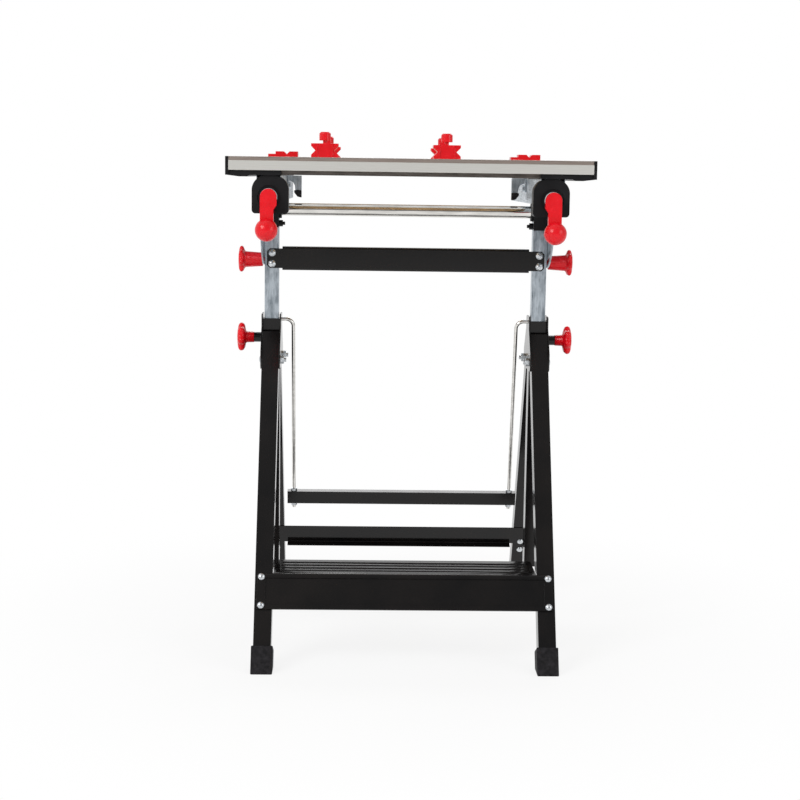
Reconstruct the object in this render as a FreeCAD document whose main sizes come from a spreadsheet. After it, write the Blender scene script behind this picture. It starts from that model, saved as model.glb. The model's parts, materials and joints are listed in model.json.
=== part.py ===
"""Folding workbench with a screw-driven vice table that tilts, rises and folds flat.

Frame: X runs to the right, Y to the back, Z up. The floor is Z = 0 and the posts stand on
the line X = 0, Y = 0. Every right-hand piece is drawn and its left-hand twin is mirrored.
"""
import FreeCAD, Part
import os
import re
import Sketcher

doc = FreeCAD.newDocument("folding_workbench")

# ---------------------------------------------------------------- driving sizes, in millimetres

SIZES = (
    # posts, sleeves and legs
    ("post_spacing", "480", "distance between the middles of the two posts"),
    ("post_width", "25", "square post, outside"),
    ("post_wall", "1.5", "wall of the post"),
    ("slide_gap", "0.3", "running gap of each sliding or turning fit"),
    ("leg_width", "30", "square leg and sleeve tube, outside"),
    ("leg_wall", "1.5", "wall of the leg tube"),
    ("sleeve_top", "570", "height of the sleeve's mouth"),
    ("sleeve_bottom", "118", "height of the sleeve's lower end"),
    ("open_angle", "26.3", "angle of an open leg from upright"),
    ("pivot_height", "499", "height of the leg pivots"),
    ("pivot_offset", "41", "leg pivots, in front of and behind the sleeve's middle"),
    ("leg_top", "48", "leg above its pivot"),
    ("pivot_bolt_radius", "4", "leg pivot bolt"),
    # hinge plates on the sleeves
    ("plate_gauge", "2.5", "steel of the hinge plates"),
    ("plate_drop", "16", "hinge plates below the leg pivots"),
    ("plate_rise", "9", "hinge plates above the sleeve's mouth"),
    ("plate_shoulder", "16", "full width of a hinge plate, up from the leg pivots"),
    ("plate_neck", "22", "straight neck at the top of a hinge plate"),
    ("plate_low_corner", "8", "lower corner radius of a hinge plate"),
    ("plate_high_corner", "6", "upper corner radius of a hinge plate"),
    ("plate_half_width", "57", "half the width of a hinge plate at the pivots"),
    ("plate_top_half_width", "24", "half the width of a hinge plate at its top"),
    # feet
    ("cap_wall", "3.3", "rubber foot cap round the leg"),
    ("cap_height", "36", "height of a foot cap"),
    ("cap_sole", "5", "rubber under the end of the leg"),
    # step tray between the front legs
    ("sheet_gauge", "1.5", "sheet steel of the tray and crossbars"),
    ("tray_low", "455", "lower edge of the tray, along the leg from the pivot"),
    ("tray_high", "392", "upper edge of the tray, along the leg from the pivot"),
    ("tray_depth", "98", "depth of the tray's tread"),
    ("tray_border", "14", "border at each end of the recess in the tray's front"),
    ("tray_sill", "8", "border below the recess in the tray's front"),
    ("tray_brow", "9", "border above the recess in the tray's front"),
    ("tray_swage", "2.5", "depth of the recess in the tray's front"),
    ("tray_bend", "4", "rounding of the tray's upper front edge"),
    ("tray_bolt_inset", "7", "tray bolts from the upper and lower edges"),
    ("tray_lip", "12", "turned-down rear lip of the tread"),
    ("tread_rib", "4", "width of a rib pressed in the tread"),
    ("tread_rib_height", "1.2", "height of a rib pressed in the tread"),
    ("tab_margin", "4", "leg left bare outside the tabs of tray and crossbars"),
    # lower crossbar between the rear legs
    ("bar_low", "426", "lower edge of the rear crossbar, along the leg"),
    ("bar_high", "387", "upper edge of the rear crossbar, along the leg"),
    ("bar_flange", "14", "depth of the rear crossbar's flange"),
    ("bar_tab", "70", "height of the rear crossbar's tabs on the legs"),
    ("bar_short", "6", "rear crossbar's flange, short of the legs"),
    ("bar_bolt_inset", "15", "lower bolt of a tab, above the tab's lower end"),
    ("bar_bolt_pitch", "20", "distance between a tab's two bolts"),
    # bail between the hinge plates
    ("bail_inset", "24", "bail rods inside the legs' inner faces"),
    ("bail_rod_radius", "3.3", "bail rod"),
    ("bail_drop", "10", "bail pivots below the top of the hinge plates"),
    ("bail_back", "-8", "bail pivots, behind the posts' middle"),
    ("bail_lean", "12", "angle at which the bail leans back"),
    ("bail_reach", "346", "bail pivot down to the middle of its bar"),
    ("bail_bar_beyond", "12", "bail bar past the middle of each rod"),
    ("bail_bar_height", "24", "height of the bail's bar"),
    ("bail_bar_depth", "12", "depth of the bail's bar"),
    ("bail_bend", "10", "inside radius of the bail's bends"),
    # lifting head
    ("lift_down", "70", "travel of the posts down from the shown height"),
    ("post_drop", "17", "post's upper end below the tilt axis"),
    ("tilt_height", "765", "height of the tilt axis"),
    ("tilt_range", "60", "tilt of the table, front edge down"),
    ("tilt_tube_radius", "11", "cross tube on the tilt axis"),
    ("tilt_tube_wall", "1.5", "wall of the cross tube"),
    ("head_inside", "17", "head's inner face, from the post's middle"),
    ("head_radius", "16", "half the depth of a hinge head"),
    ("head_drop", "32", "hinge heads below the tilt axis"),
    ("upper_bar_drop", "108", "lower edge of the upper crossbar below the tilt axis"),
    ("upper_bar_height", "42", "height of the upper crossbar"),
    ("upper_bar_depth", "20", "depth of the upper crossbar"),
    ("upper_bar_short", "19", "upper crossbar's full section, short of the middle of each post"),
    ("upper_tab_height", "35", "height of the upper crossbar's tabs"),
    ("upper_tab_beyond", "8.5", "upper crossbar's tabs, past the middle of each post"),
    ("upper_tab_chamfer", "5", "cut corners of the upper crossbar's tabs"),
    ("upper_bolt_pitch", "19.5", "distance between a tab's two bolts"),
    ("upper_bolt_inset", "0.5", "upper crossbar bolts, inside the middle of the post"),
    ("bend_radius", "4", "outside bend radius of the upper crossbar"),
    # table
    ("table_width", "605", "boards over their end mouldings"),
    ("table_rise", "90", "boards' upper face above the tilt axis"),
    ("board_depth", "240", "front to back of one board"),
    ("jaw_opening", "60", "gap between the boards"),
    ("board_thickness", "22", "board and its aluminium edging"),
    ("edging_depth", "12", "aluminium edging, front to back"),
    ("edging_lip", "6.5", "height of the recessed upper band of the edging"),
    ("edging_step", "1", "depth of the recessed upper band of the edging"),
    ("end_gauge", "5", "plastic moulding on a board's end"),
    ("shoe_height", "8", "plastic shoe under a board's end"),
    ("shoe_reach", "28", "inner edge of the shoes, inside the middle of the post"),
    ("shoe_bulge", "2.5", "bulge under a shoe, outside the rail"),
    ("dog_hole_radius", "10", "dog hole"),
    ("hole_pitch", "67", "distance between dog holes along the front board"),
    ("hole_shift", "-8", "middle dog hole of the front board, from the middle of the bench"),
    ("rear_hole_pitch", "70.5", "distance between dog holes along the rear board"),
    ("rear_hole_shift", "-1.5", "middle dog hole of the rear board, from the middle of the bench"),
    ("front_row", "50", "dog holes behind the front board's front edge"),
    ("rear_row", "81", "dog holes behind the rear board's front edge"),
    ("back_row", "170", "second row of dog holes, behind the rear board's front edge"),
    ("back_dog_inset", "10", "low dogs, inside the middle of the post"),
    ("rail_beyond", "13", "outer face of a rail, past the middle of the post"),
    ("rail_width", "40", "width of a rail"),
    ("rail_gauge", "2", "steel of the rails"),
    ("rail_rise", "17", "lower face of the rails above the tilt axis"),
    ("rail_length", "500", "length of a rail"),
    ("rail_inset", "12", "front end of a rail, behind the face of its housing"),
    ("strip_front", "14", "steel strip behind the front edge of the board"),
    ("strip_depth", "24", "depth of the steel strip under the front board"),
    ("strip_height", "7", "height of the steel strip under the front board"),
    ("stop_reach", "52", "inner edge of the stop plates, inside the middle of the post"),
    ("stop_set", "37", "outer edge of the hanging part, inside the middle of the post"),
    ("stop_neck", "9", "height of a stop plate where it leaves the rail"),
    ("stop_slope", "12", "top of a stop plate down to its straight outer edge"),
    ("stop_flange_height", "24", "flange of a stop plate on the rail"),
    ("stop_flange_half", "12", "half the length of that flange"),
    ("stop_taper", "4", "narrowing of a stop plate down to its pad"),
    ("stop_sweep", "5.5", "reach of the curve under a stop plate's neck"),
    ("stop_fold", "10", "folded inner edge of a stop plate"),
    ("stop_nut_drop", "17", "nut of a stop plate, below the top of the rail"),
    ("stop_nut_back", "6", "nut of a stop plate, behind the posts' middle"),
    ("stop_nut_height", "3.5", "nut of a stop plate"),
    ("stop_drop", "26", "hanging length of a stop plate"),
    ("stop_gauge", "2", "steel of the stop plates"),
    ("stop_pad_height", "13", "rubber pad on a stop plate"),
    ("stop_pad_toe", "7", "width of the pad's lower end"),
    ("stop_pad_front", "6", "pad in front of the posts' middle"),
    # tilt sectors
    ("sector_gauge", "3", "steel of the tilt sectors"),
    ("sector_radius", "99", "outer radius of a tilt sector"),
    ("slot_radius", "90", "tilt slot, from the tilt axis"),
    ("sector_foot", "46", "half the width of the sector's upper edge"),
    # screws and cranks
    ("screw_inset", "8", "vice screws, inside the middle of the post"),
    ("screw_rise", "25", "vice screws above the tilt axis"),
    ("screw_radius", "4.5", "vice screw"),
    ("screw_tail", "215", "rear end of the vice screws, behind the posts"),
    ("housing_half", "30", "half the width of a screw housing"),
    ("housing_drop", "2", "screw housings below the tilt axis"),
    ("housing_shift", "2", "middle of a housing, inside its screw"),
    ("housing_front", "8", "housing's face behind the board's front edge"),
    ("housing_depth", "26", "depth of a screw housing"),
    ("housing_crown", "24", "upper corner radius of a screw housing"),
    ("housing_corner", "6", "lower corner radius of a screw housing"),
    ("recess_radius", "19", "round recess in the housing's face"),
    ("recess_depth", "3", "depth of the recess"),
    ("collar_gap", "4.8", "recess round the screw's collar"),
    ("crank_length", "53", "screw to the middle of the crank's ball"),
    ("crank_radius", "13.5", "rounded head of the crank"),
    ("crank_foot_half", "11", "half the width of the crank's arm at its ball"),
    ("crank_cheek", "13", "straight sides of the crank's head, below the screw"),
    ("crank_waist", "20", "start of the crank's narrower arm, below the screw"),
    ("crank_gauge", "10", "thickness of the crank's arm"),
    ("crank_clear", "1.5", "gap between board edge and crank"),
    ("crank_set", "2.5", "sideways set of the crank's lower end"),
    ("ball_radius", "18.5", "crank ball"),
    ("ball_sink", "8", "flat at the ball's back, in front of its middle by this much less"),
    ("ball_pin_radius", "4", "pin in the crank's ball"),
    ("nut_depth", "34", "front to back of a jaw nut block"),
    ("nut_place", "130", "front face of the jaw nut blocks, behind the posts"),
    # star knobs
    ("lift_knob_drop", "35", "height-clamp knobs below the sleeve's mouth"),
    ("tilt_hub_length", "32.5", "hub of a tilt knob"),
    ("tilt_hub_radius", "12.2", "hub of a tilt knob at the sector"),
    ("tilt_hub_flare", "2", "how much a tilt knob's hub widens towards the star"),
    ("tilt_star_radius", "24", "star of a tilt knob over its lobes"),
    ("tilt_star_gauge", "11", "thickness of a tilt knob's star"),
    ("lift_hub_length", "15", "hub of a height-clamp knob"),
    ("lift_hub_radius", "9.5", "hub of a height-clamp knob"),
    ("lift_star_radius", "26", "star of a height-clamp knob over its lobes"),
    ("lift_star_gauge", "15", "thickness of a height-clamp knob's star"),
    ("lobe_radius", "6.2", "lobe of a star"),
    ("boss_radius", "8.8", "threaded boss on the hinge plate"),
    ("boss_length", "14", "length of the threaded boss"),
    ("knob_stud_radius", "4", "threaded stud of a knob"),
    # dogs
    ("dog_width", "45", "clamping dog, side to side"),
    ("dog_depth", "32", "clamping dog, front to back"),
    ("dog_body_height", "23", "notched body of a tall dog"),
    ("dog_stem_radius", "3.5", "stem of a tall dog"),
    ("dog_stem_length", "5", "stem of a tall dog"),
    ("dog_head_radius", "9.5", "head of a tall dog"),
    ("dog_head_height", "14", "head of a tall dog"),
    ("dog_head_chamfer", "2.6", "chamfer round the top of a tall dog's head"),
    ("dog_rib_width", "2.4", "rib on the faces of a tall dog"),
    ("dog_rib_place", "12.5", "ribs of a tall dog, from its middle"),
    ("dog_rib_height", "1.2", "rib on the faces of a tall dog, how far it stands out"),
    ("dog_notch", "7", "depth of the V notches"),
    ("low_dog_height", "14.8", "height of a low dog"),
    ("low_dog_body", "42", "notched body of a low dog, side to side"),
    ("low_dog_tab", "14", "tab beside the body of a low dog"),
    ("low_dog_tab_height", "10", "height of that tab"),
    ("low_dog_notch", "5.5", "depth of the V notch in a low dog, and half its width"),
    ("dog_shank_length", "19", "shank in the dog hole"),
    # fasteners
    ("bolt_radius", "3", "frame bolt"),
    ("dome_radius", "6", "domed bolt head"),
    ("dome_height", "3.2", "domed bolt head"),
    ("nut_flats", "13", "nut of a pivot bolt, across its flats"),
    ("nut_height", "6.5", "nut of a pivot bolt or a head bolt"),
    ("small_nut_flats", "10", "nut of a head bolt or a bail rod, across its flats"),
)

# places that follow from the sizes above; the posts, the sleeve and the tilt axis carry the rest
DERIVED = (
    ("plate_bottom", "=pivot_height - plate_drop", "height of the hinge plates' lower edge"),
    ("plate_top", "=sleeve_top + plate_rise", "height of the hinge plates' upper edge"),
    ("lift_knob_height", "=sleeve_top - lift_knob_drop", "height of the height-clamp knobs"),
    ("bail_height", "=plate_top - bail_drop", "height of the bail's pivots"),
    ("bail_spacing", "=post_spacing - leg_width - 2 * bail_inset", "distance between bail rods"),
    ("bail_bar_length", "=bail_spacing + 2 * bail_bar_beyond", "length of the bail's bar"),
    ("tray_panel", "=post_spacing + leg_width - 2 * tab_margin - 2 * tray_border",
     "width of the recess in the tray's front"),
    ("post_top", "=tilt_height - post_drop", "height of the post's upper end"),
    ("head_bottom", "=tilt_height - head_drop", "height of the hinge heads' lower edge"),
    ("upper_bar_low", "=tilt_height - upper_bar_drop", "height of the upper crossbar's lower edge"),
    ("upper_bar_half", "=post_spacing / 2 - upper_bar_short", "half the upper crossbar's section"),
    ("upper_tab_half", "=post_spacing / 2 + upper_tab_beyond", "half the crossbar over its tabs"),
    ("upper_bolt_place", "=post_spacing / 2 - upper_bolt_inset", "upper crossbar bolts"),
    ("tilt_knob_height", "=tilt_height - slot_radius", "height of the tilt knobs"),
    ("table_top", "=tilt_height + table_rise", "height of the boards' upper face"),
    ("rail_bottom", "=tilt_height + rail_rise", "height of the rails' lower face"),
    ("rail_outside", "=post_spacing / 2 + rail_beyond", "outer face of a rail"),
    ("screw_height", "=tilt_height + screw_rise", "height of the vice screws"),
    ("screw_place", "=post_spacing / 2 - screw_inset", "vice screws, from the middle"),
    ("housing_bottom", "=tilt_height - housing_drop", "height of the housings' lower edge"),
    ("shoe_inside", "=post_spacing / 2 - shoe_reach", "inner edge of the shoes"),
    ("stop_inside", "=post_spacing / 2 - stop_reach", "inner edge of the stop plates"),
    ("stop_outside", "=post_spacing / 2 - stop_set", "outer edge of their hanging part"),
    ("back_dog_place", "=post_spacing / 2 - back_dog_inset", "low dogs, from the middle"),
)

sheet = doc.addObject("Spreadsheet::Sheet", "Sizes")
for row, (alias, value, meaning) in enumerate(SIZES + DERIVED, start=1):
    sheet.set(f"A{row}", meaning)
    sheet.set(f"B{row}", value)
    sheet.setAlias(f"B{row}", alias)
doc.recompute()

ALIAS = re.compile(r"\b(" + "|".join(alias for alias, _, _ in SIZES + DERIVED) + r")\b")


def bound(text):
    """An expression in which each size is read from the sheet."""
    return ALIAS.sub(lambda found: "Sizes." + found.group(0), text)


def number(text):
    """The present value of an expression."""
    value = sheet.evalExpression(bound(text))
    return float(getattr(value, "Value", value))


# ---------------------------------------------------------------- ways to make a piece

AXES = {
    "X": FreeCAD.Rotation(FreeCAD.Vector(0, 1, 0), 90),
    "Y": FreeCAD.Rotation(FreeCAD.Vector(1, 0, 0), -90),
    "Z": FreeCAD.Rotation(),
}
sub_parts = []


def new(kind):
    return doc.addObject("Part::" + kind, kind)


def put(piece, place):
    for axis, value in zip("xyz", place):
        piece.setExpression(f"Placement.Base.{axis}", bound(value))


def block(low, high):
    """A box between two corners."""
    piece = new("Box")
    for side, start, end in zip(("Length", "Width", "Height"), low, high):
        piece.setExpression(side, bound(f"({end}) - ({start})"))
    put(piece, low)
    return piece


def rod(radius, start, length, axis="Z"):
    """A round bar from a point along one axis."""
    piece = new("Cylinder")
    piece.Placement.Rotation = AXES[axis]
    piece.setExpression("Radius", bound(radius))
    piece.setExpression("Height", bound(length))
    put(piece, start)
    return piece


def taper(radius, end_radius, start, length, axis="Z"):
    """A round bar whose radius changes evenly."""
    piece = new("Cone")
    piece.Placement.Rotation = AXES[axis]
    piece.setExpression("Radius1", bound(radius))
    piece.setExpression("Radius2", bound(end_radius))
    piece.setExpression("Height", bound(length))
    put(piece, start)
    return piece


def ball(radius, middle):
    piece = new("Sphere")
    piece.setExpression("Radius", bound(radius))
    put(piece, middle)
    return piece


def hexagon(flats, start, length, axis="Z"):
    """A nut or a hexagon head, by its width across flats."""
    piece = new("Prism")
    piece.Polygon = 6
    piece.Placement.Rotation = AXES[axis]
    piece.setExpression("Circumradius", bound(f"({flats}) / 2 / cos(30)"))
    piece.setExpression("Height", bound(length))
    put(piece, start)
    return piece


def dome(radius, height, start, axis, outward):
    """A domed bolt head: the cap of a sphere, standing on a plane across the axis."""
    step = {"X": 0, "Y": 1, "Z": 2}[axis]
    curve = f"(({radius})^2 + ({height})^2) / 2 / ({height})"
    sign = "-" if outward > 0 else "+"
    middle = list(start)
    middle[step] = f"({start[step]}) {sign} ({curve} - ({height}))"
    low = [f"({value}) - ({radius}) - 1" for value in start]
    high = [f"({value}) + ({radius}) + 1" for value in start]
    if outward > 0:
        low[step] = start[step]
    else:
        high[step] = start[step]
    piece = new("Common")
    piece.Base = ball(curve, middle)
    piece.Tool = block(low, high)
    return piece


def join(*pieces):
    """One solid of overlapping pieces."""
    fused = new("MultiFuse")
    fused.Shapes = list(pieces)
    fused.Refine = True
    return fused


def group(*pieces):
    """Several separate solids that share a node."""
    together = new("Compound")
    together.Links = list(pieces)
    return together


def cut(base, *tools):
    """The base with each tool taken out of it."""
    for tool in tools:
        shell = new("Cut")
        shell.Base = base
        shell.Tool = tool
        base = shell
    return base


def turned(piece, pivot, angle):
    """A piece that was drawn about its pivot, turned about X and set at the pivot."""
    x, y, z = pivot
    piece.setExpression(
        "Placement",
        bound(f"placement(vector({x}; {y}; {z}); rotation(vector(1; 0; 0); {angle}))"),
    )
    return piece


def mirrored(piece, normal=(1, 0, 0)):
    """The twin of a piece on the other side of the bench."""
    twin = new("Mirroring")
    twin.Source = piece
    twin.Normal = normal
    return twin


def keep(label, piece):
    """Names a finished sub-part."""
    piece.Label = label
    sub_parts.append(piece)
    return piece


def keep_pair(name, right):
    """Names a right-hand sub-part and its left-hand twin."""
    keep(name + "_right", right)
    keep(name + "_left", mirrored(right))


PLANES = {"YZ": ("YZ_Plane", "X", 1), "XZ": ("XZ_Plane", "Y", -1), "XY": ("XY_Plane", "Z", 1)}


def profile(plane, outline, start, end, roundings=()):
    """A closed outline pushed square to its plane, from start to end.

    Each point of the outline is held by two dimensions. Each rounding is a radius with the
    points of the outline whose corners it rounds.
    """
    role, axis, way = PLANES[plane]
    body = doc.addObject("PartDesign::Body", "Profile")
    sketch = body.newObject("Sketcher::SketchObject", "Outline")
    support = next(feature for feature in body.Origin.OriginFeatures if feature.Role == role)
    sketch.AttachmentSupport = [(support, "")]
    sketch.MapMode = "FlatFace"
    points = [FreeCAD.Vector(number(across), number(up), 0) for across, up in outline]
    for index, point in enumerate(points):
        sketch.addGeometry(Part.LineSegment(point, points[(index + 1) % len(points)]), False)
    for index, (across, up) in enumerate(outline):
        following = (index + 1) % len(outline)
        sketch.addConstraint(Sketcher.Constraint("Coincident", index, 2, following, 1))
        point = points[index]
        for kind, text, value in (("DistanceX", across, point.x), ("DistanceY", up, point.y)):
            held = sketch.addConstraint(Sketcher.Constraint(kind, -1, 1, index, 1, value))
            sketch.setExpression(f"Constraints[{held}]", bound(text))
    pad = body.newObject("PartDesign::Pad", "Push")
    pad.Profile = sketch
    pad.setExpression("Length", bound(f"({end}) - ({start})"))
    base = pad
    for radius, corners in roundings:
        doc.recompute()
        wanted = [points[corner] for corner in corners]
        edges = corner_edges(base.Shape, plane, wanted)
        fillet = body.newObject("PartDesign::Fillet", "Rounding")
        fillet.Base = (base, edges)
        fillet.setExpression("Radius", bound(radius))
        base = fillet
    place = start if way > 0 else end
    body.setExpression(f"Placement.Base.{axis.lower()}", bound(place))
    return body


def corner_edges(shape, plane, wanted):
    """The names of the straight edges that stand square on the plane at the wanted points."""
    names = []
    for index, edge in enumerate(shape.Edges, start=1):
        ends = [vertex.Point for vertex in edge.Vertexes]
        flat = [{"YZ": (p.y, p.z), "XZ": (p.x, p.z), "XY": (p.x, p.y)}[plane] for p in ends]
        if len(flat) < 2 or abs(flat[0][0] - flat[1][0]) + abs(flat[0][1] - flat[1][1]) > 0.001:
            continue
        if any(abs(flat[0][0] - p.x) + abs(flat[0][1] - p.y) < 0.001 for p in wanted):
            names.append(f"Edge{index}")
    return names


# ---------------------------------------------------------------- places shared by the pieces

SIDE = "post_spacing / 2"
HALF_LEG = "leg_width / 2"
LEG_IN = "(post_spacing / 2 - leg_width / 2)"
LEG_OUT = "(post_spacing / 2 + leg_width / 2)"
HALF_POST = "post_width / 2"
PLATE_IN = "(post_spacing / 2 - leg_width / 2 - plate_gauge)"
PLATE_OUT = "(post_spacing / 2 + leg_width / 2 + plate_gauge)"
FOOT_DROP = "(pivot_height / cos(open_angle))"
BOARD_UNDER = "(table_top - board_thickness)"
RAIL_TOP = "(table_top - board_thickness - shoe_height)"
FRONT_EDGE = "(-jaw_opening / 2 - board_depth)"
REAR_EDGE = "(jaw_opening / 2)"
FRONT_PIVOT = ("0", "-pivot_offset", "pivot_height")
FRONT_TURN = "-open_angle"
PIVOTS = ("-pivot_offset", "pivot_offset")
FREE_BOLT = "pivot_bolt_radius + slide_gap"
STUD_HOLE = "knob_stud_radius + slide_gap"
HOUSING_FACE = "(-jaw_opening / 2 - board_depth + housing_front)"
CRANK_BACK = "(-jaw_opening / 2 - board_depth - crank_clear)"
CRANK_FACE = "(-jaw_opening / 2 - board_depth - crank_clear - crank_gauge)"


# ---------------------------------------------------------------- sleeves and hinge plates

def sleeve():
    """Square tube that guides the post; its inside is the post plus the running gap."""
    outer = block((LEG_IN, f"-({HALF_LEG})", "sleeve_bottom"), (LEG_OUT, HALF_LEG, "sleeve_top"))
    bore = f"({HALF_POST} + slide_gap)"
    inner = block(
        (f"{SIDE} - {bore}", f"-{bore}", "sleeve_bottom - 1"),
        (f"{SIDE} + {bore}", bore, "sleeve_top + 1"),
    )
    stud = rod(STUD_HOLE, (f"{SIDE} + {HALF_POST}", "0", "lift_knob_height"), "leg_width", "X")
    return cut(outer, inner, stud)


def hinge_plates():
    """Two plates welded to the sleeve's sides, the outer one with a threaded boss."""
    outline = (
        ("-plate_half_width", "plate_bottom"),
        ("plate_half_width", "plate_bottom"),
        ("plate_half_width", "pivot_height + plate_shoulder"),
        ("plate_top_half_width", "plate_top - plate_neck"),
        ("plate_top_half_width", "plate_top"),
        ("-plate_top_half_width", "plate_top"),
        ("-plate_top_half_width", "plate_top - plate_neck"),
        ("-plate_half_width", "pivot_height + plate_shoulder"),
    )
    corners = (("plate_low_corner", (0, 1)), ("plate_high_corner", (4, 5)))
    inner = profile("YZ", outline, PLATE_IN, LEG_IN, corners)
    outer = profile("YZ", outline, LEG_OUT, PLATE_OUT, corners)
    boss = rod("boss_radius", (PLATE_OUT, "0", "lift_knob_height"), "boss_length", "X")
    through = rod(STUD_HOLE, (LEG_OUT + " - 1", "0", "lift_knob_height"), "boss_length + 9", "X")
    holes = [
        rod("pivot_bolt_radius", (f"{PLATE_IN} - 1", place, "pivot_height"), "leg_width + 9", "X")
        for place in PIVOTS
    ]
    bail_hole = rod(
        "bail_rod_radius + slide_gap", (f"{PLATE_IN} - 1", "bail_back", "bail_height"), "4", "X"
    )
    return group(cut(inner, *holes, bail_hole), cut(join(outer, boss), *holes, through))


def pivot_bolts():
    """Four bolts that carry the legs, each with a nut and its thread end on the inside."""
    bolts = []
    for place in PIVOTS:
        shank = rod("pivot_bolt_radius", (f"{PLATE_IN} - nut_height - 4", place, "pivot_height"),
                    f"{PLATE_OUT} - {PLATE_IN} + nut_height + 4", "X")
        nut = hexagon("nut_flats", (f"{PLATE_IN} - nut_height", place, "pivot_height"),
                      "nut_height", "X")
        head = dome("dome_radius + 1", "dome_height", (PLATE_OUT, place, "pivot_height"), "X", 1)
        bolt = join(shank, nut, head)
        bolts += [bolt, mirrored(bolt)]
    return group(*bolts)


keep_pair("sleeve", sleeve())
keep_pair("hinge_plates", hinge_plates())
keep("pivot_bolts", pivot_bolts())


# ---------------------------------------------------------------- legs, feet, tray, crossbar

def leg():
    """Leg tube, drawn upright about its pivot, turned open and trimmed beside the sleeve."""
    outer = block((LEG_IN, f"-({HALF_LEG})", f"-{FOOT_DROP} - leg_width"),
                  (LEG_OUT, HALF_LEG, "leg_top"))
    inner = block((f"{LEG_IN} + leg_wall", f"-({HALF_LEG}) + leg_wall", f"-{FOOT_DROP} - 99"),
                  (f"{LEG_OUT} - leg_wall", f"{HALF_LEG} - leg_wall", "leg_top + 1"))
    pivot = rod(FREE_BOLT, (f"{LEG_IN} - 1", "0", "0"), "leg_width + 2", "X")
    tube = turned(cut(outer, inner, pivot), FRONT_PIVOT, FRONT_TURN)
    gap = f"({HALF_LEG} + slide_gap)"
    beside_sleeve = block((f"{LEG_IN} - 1", f"-{gap}", "pivot_height"),
                          (f"{LEG_OUT} + 1", "leg_width", "pivot_height + leg_top + leg_width"))
    under = block((f"{LEG_IN} - 1", "-post_spacing * 2", "-cap_height * 3"),
                  (f"{LEG_OUT} + 1", "0", "cap_sole"))
    return cut(tube, beside_sleeve, under)


def foot_cap():
    """Rubber cap round the end of the leg, flat where it stands."""
    wall = f"({HALF_LEG} + cap_wall)"
    top = "(-(pivot_height - cap_height) / cos(open_angle))"
    outer = block((f"{SIDE} - {wall}", f"-{wall}", f"-{FOOT_DROP} - leg_width"),
                  (f"{SIDE} + {wall}", wall, top))
    cap = turned(group(outer), FRONT_PIVOT, FRONT_TURN)
    under = block(("0", "-post_spacing * 2", "-cap_height * 3"), ("post_spacing", "0", "0"))
    leg_end = block((LEG_IN, f"-({HALF_LEG})", f"-{FOOT_DROP} - leg_width"),
                    (LEG_OUT, HALF_LEG, f"{top} + 9"))
    pocket = turned(group(leg_end), FRONT_PIVOT, FRONT_TURN)
    sole = block(("0", "-post_spacing * 2", "-1"), ("post_spacing", "0", "cap_sole"))
    return cut(cap, under, cut(pocket, sole))


def tray():
    """Step tray: shallow front pan over the legs, ribbed tread between them and a rear lip."""
    front = f"(-({HALF_LEG}) - sheet_gauge - tray_swage)"
    face = f"(-({HALF_LEG}) - sheet_gauge)"
    tab_end = f"({LEG_OUT} - tab_margin)"
    pan = profile("YZ", (
        (front, "-tray_low"),
        (f"-({HALF_LEG})", "-tray_low"),
        (f"-({HALF_LEG})", "-tray_high"),
        (front, "-tray_high"),
    ), f"-{tab_end}", tab_end, (("tray_bend * 0.9", (3,)),))
    recess = block(("-tray_panel / 2", f"{front} - 1", "-tray_low + tray_sill"),
                   ("tray_panel / 2", face, "-tray_high - tray_brow"))
    rise = "tray_depth * sin(open_angle)"
    run = "tray_depth * cos(open_angle)"
    thin_up = "sheet_gauge * cos(open_angle)"
    thin_back = "sheet_gauge * sin(open_angle)"
    tread = profile("YZ", (
        (face, f"-tray_high - {thin_up}"),
        (f"{face} + {run}", f"-tray_high + {rise} - {thin_up}"),
        (f"{face} + {run} + tray_lip * sin(open_angle)",
         f"-tray_high + {rise} - {thin_up} - tray_lip * cos(open_angle)"),
        (f"{face} + {run} + tray_lip * sin(open_angle) + sheet_gauge * cos(open_angle)",
         f"-tray_high + {rise} - {thin_up} - tray_lip * cos(open_angle) + {thin_back}"),
        (f"{face} + {run} + sheet_gauge * cos(open_angle)",
         f"-tray_high + {rise} + {thin_back}"),
        (face, "-tray_high"),
    ), f"-{LEG_IN} + 1", f"{LEG_IN} - 1")
    ribs = []
    for place in ("0.2", "0.4", "0.6", "0.8"):
        middle = f"tray_depth * {place}"
        back = f"({face} + {middle} * cos(open_angle))"
        up = f"(-tray_high + {middle} * sin(open_angle))"
        ribs.append(profile("YZ", (
            (f"{back} - tread_rib / 2 * cos(open_angle)", f"{up} - tread_rib / 2 * sin(open_angle)"),
            (f"{back} + tread_rib / 2 * cos(open_angle)", f"{up} + tread_rib / 2 * sin(open_angle)"),
            (f"{back} + tread_rib / 3 * cos(open_angle) - tread_rib_height * sin(open_angle)",
             f"{up} + tread_rib / 3 * sin(open_angle) + tread_rib_height * cos(open_angle)"),
            (f"{back} - tread_rib / 3 * cos(open_angle) - tread_rib_height * sin(open_angle)",
             f"{up} - tread_rib / 3 * sin(open_angle) + tread_rib_height * cos(open_angle)"),
        ), f"-{LEG_IN} + 12", f"{LEG_IN} - 12"))
    whole = join(cut(pan, recess), tread, *ribs)
    return turned(whole, FRONT_PIVOT, FRONT_TURN)


def leg_bolts(place, heights, proud):
    """Two domed bolts on the front of a leg, at their heights along it."""
    face = f"(-({HALF_LEG}) - {proud})"
    return [dome("dome_radius", "dome_height", (place, face, height), "Y", -1)
            for height in heights]


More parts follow.
